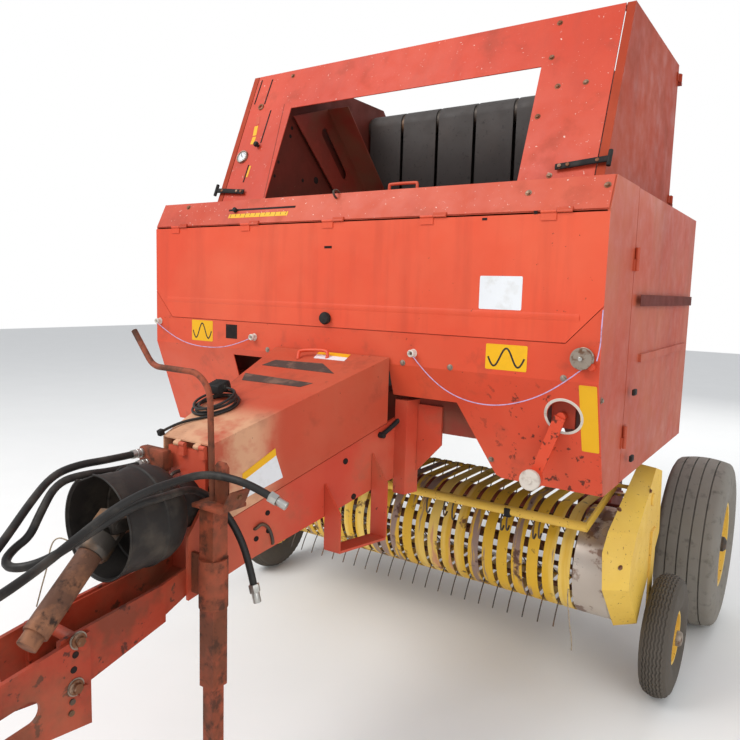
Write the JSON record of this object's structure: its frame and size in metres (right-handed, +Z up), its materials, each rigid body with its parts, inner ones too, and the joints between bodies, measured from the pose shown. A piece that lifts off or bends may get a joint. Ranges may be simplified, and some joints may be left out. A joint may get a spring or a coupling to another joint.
{
  "type": "towed round baler",
  "caption": "Towed round baler standing on its jack: tongue with hitch, twine box, tined pickup, belted bale chamber and hinged tailgate on two wheels.",
  "frame": {"origin": "on the ground, on the centre line, midway between the hitch's tip and the tailgate's rear", "axes": "+X to the machine's left, -Y forward to the hitch, +Z up"},
  "size_m": [2.43, 3.9549, 2.467],
  "materials": {
    "red_paint": "faded red paint with dirt and rust",
    "yellow_paint": "worn yellow paint",
    "rusty_steel": "rusted bare steel",
    "dark_steel": "greasy dark steel",
    "rod_steel": "polished rod",
    "belt_rubber": "charcoal rubber",
    "tyre": "weathered tyre",
    "black_plastic": "dusty black"
  },
  "bodies": {
    "frame": {"side_walls": "red_paint", "cross_members": "red_paint", "upper_face": "red_paint", "twine_box": "red_paint", "apron": "red_paint", "front_corners": "red_paint", "take_up_arms": "red_paint", "axle": "red_paint", "tongue_frame": "red_paint", "tongue_beam": "red_paint", "hitch": "red_paint", "frame_posts": "red_paint", "skid_bracket": "red_paint", "jack_body": "red_paint", "twine_arm": "red_paint", "pto_shaft": "rusty_steel", "hose_stand": "rusty_steel", "front_rollers": "dark_steel", "gearbox": "dark_steel", "front_belts": "belt_rubber", "pto_shield": "black_plastic"},
    "tailgate": {"tailgate_sides": "red_paint", "tailgate_cross": "red_paint", "rear_rollers": "dark_steel", "rear_belts": "belt_rubber"},
    "pickup": {"pickup_frame": "yellow_paint", "stripper_bands": "yellow_paint", "drive_guard": "yellow_paint", "gauge_arms": "yellow_paint", "windguard_lugs": "yellow_paint"},
    "windguard_body": {"windguard": "yellow_paint"},
    "reel": {"tine_reel": "rusty_steel"},
    "jack_leg_body": {"jack_leg": "red_paint"},
    "front_cover_body": {"front_cover": "red_paint"},
    "tongue_cover_body": {"tongue_cover": "red_paint"},
    "ram_left": {"cylinder_barrel_left": "red_paint"},
    "ram_rod_left": {"cylinder_rod_left": "rod_steel"},
    "side_door_left_body": {"side_door_left": "red_paint"},
    "upper_shield_left_body": {"upper_shield_left": "red_paint"},
    "wheel_left": {"tyre_left": "tyre", "rim_left": "yellow_paint"},
    "gauge_wheel_left": {"gauge_tyre_left": "tyre", "gauge_rim_left": "yellow_paint"},
    "ram_right": {"cylinder_barrel_right": "red_paint"},
    "ram_rod_right": {"cylinder_rod_right": "rod_steel"},
    "side_door_right_body": {"side_door_right": "red_paint"},
    "upper_shield_right_body": {"upper_shield_right": "red_paint"},
    "wheel_right": {"tyre_right": "tyre", "rim_right": "yellow_paint"},
    "gauge_wheel_right": {"gauge_tyre_right": "tyre", "gauge_rim_right": "yellow_paint"}
  },
  "joints": [
    {"name": "tailgate_hinge", "type": "hinge", "parent": "frame", "child": "tailgate", "pos_m": [0, 0.9625, 2.33], "axis": [1, 0, 0], "range_deg": [0, 60]},
    {"name": "ram_lean_left", "type": "hinge", "parent": "frame", "child": "ram_left", "pos_m": [0.662, 0.9625, 1.13], "axis": [1, 0, 0], "range_deg": [-1, 5]},
    {"name": "ram_stroke_left", "type": "slide", "parent": "ram_left", "child": "ram_rod_left", "axis": [0, 0.3546, 0.935], "range_m": [0, 0.47]},
    {"name": "side_door_hinge_left", "type": "hinge", "parent": "frame", "child": "side_door_left_body", "pos_m": [0.9325, 0.025, 1.4], "axis": [0, 0, -1], "range_deg": [0, 105]},
    {"name": "upper_shield_hinge_left", "type": "hinge", "parent": "frame", "child": "upper_shield_left_body", "pos_m": [0.835, 0.9345, 2.1], "axis": [0, 0, 1], "range_deg": [0, 100]},
    {"name": "wheel_spin_left", "type": "hinge", "parent": "frame", "child": "wheel_left", "pos_m": [1.045, 1.3305, 0.3905], "axis": [1, 0, 0], "continuous": true},
    {"name": "gauge_wheel_spin_left", "type": "hinge", "parent": "pickup", "child": "gauge_wheel_left", "pos_m": [1.0056, 0.5715, 0.2325], "axis": [1, 0, 0], "continuous": true},
    {"name": "ram_lean_right", "type": "hinge", "parent": "frame", "child": "ram_right", "pos_m": [-0.662, 0.9625, 1.13], "axis": [1, 0, 0], "range_deg": [-1, 5]},
    {"name": "ram_stroke_right", "type": "slide", "parent": "ram_right", "child": "ram_rod_right", "axis": [0, 0.3546, 0.935], "range_m": [0, 0.47]},
    {"name": "side_door_hinge_right", "type": "hinge", "parent": "frame", "child": "side_door_right_body", "pos_m": [-0.9325, 0.025, 1.4], "axis": [0, 0, 1], "range_deg": [0, 105]},
    {"name": "upper_shield_hinge_right", "type": "hinge", "parent": "frame", "child": "upper_shield_right_body", "pos_m": [-0.835, 0.9345, 2.1], "axis": [0, 0, -1], "range_deg": [0, 100]},
    {"name": "wheel_spin_right", "type": "hinge", "parent": "frame", "child": "wheel_right", "pos_m": [-1.045, 1.3305, 0.3905], "axis": [1, 0, 0], "continuous": true},
    {"name": "gauge_wheel_spin_right", "type": "hinge", "parent": "pickup", "child": "gauge_wheel_right", "pos_m": [-1.0056, 0.5715, 0.2325], "axis": [1, 0, 0], "continuous": true},
    {"name": "front_cover_hinge", "type": "hinge", "parent": "frame", "child": "front_cover_body", "pos_m": [0, -0.2805, 1.757], "axis": [-1, 0, 0], "range_deg": [0, 85]},
    {"name": "tongue_cover_hinge", "type": "hinge", "parent": "frame", "child": "tongue_cover_body", "pos_m": [0, -0.9235, 1.09], "axis": [1, 0, 0], "range_deg": [0, 55]},
    {"name": "pickup_lift", "type": "hinge", "parent": "frame", "child": "pickup", "pos_m": [0, 0.7525, 0.64], "axis": [-1, 0, 0], "range_deg": [0, 14]},
    {"name": "windguard_hinge", "type": "hinge", "parent": "pickup", "child": "windguard_body", "pos_m": [0, 0.5225, 0.8], "axis": [-1, 0, 0], "range_deg": [0, 25]},
    {"name": "reel_spin", "type": "hinge", "parent": "pickup", "child": "reel", "pos_m": [0, 0.4425, 0.52], "axis": [1, 0, 0], "continuous": true},
    {"name": "jack_leg_slide", "type": "slide", "parent": "frame", "child": "jack_leg_body", "axis": [0, 0, 1], "range_m": [0, 0.3]}
  ],
  "couplings": [
    {"joint": "ram_lean_left", "follows": "tailgate_hinge", "ratio": 0.032},
    {"joint": "ram_stroke_left", "follows": "tailgate_hinge", "m_per_rad": 0.4441},
    {"joint": "ram_lean_right", "follows": "tailgate_hinge", "ratio": 0.032},
    {"joint": "ram_stroke_right", "follows": "tailgate_hinge", "m_per_rad": 0.4441}
  ]
}
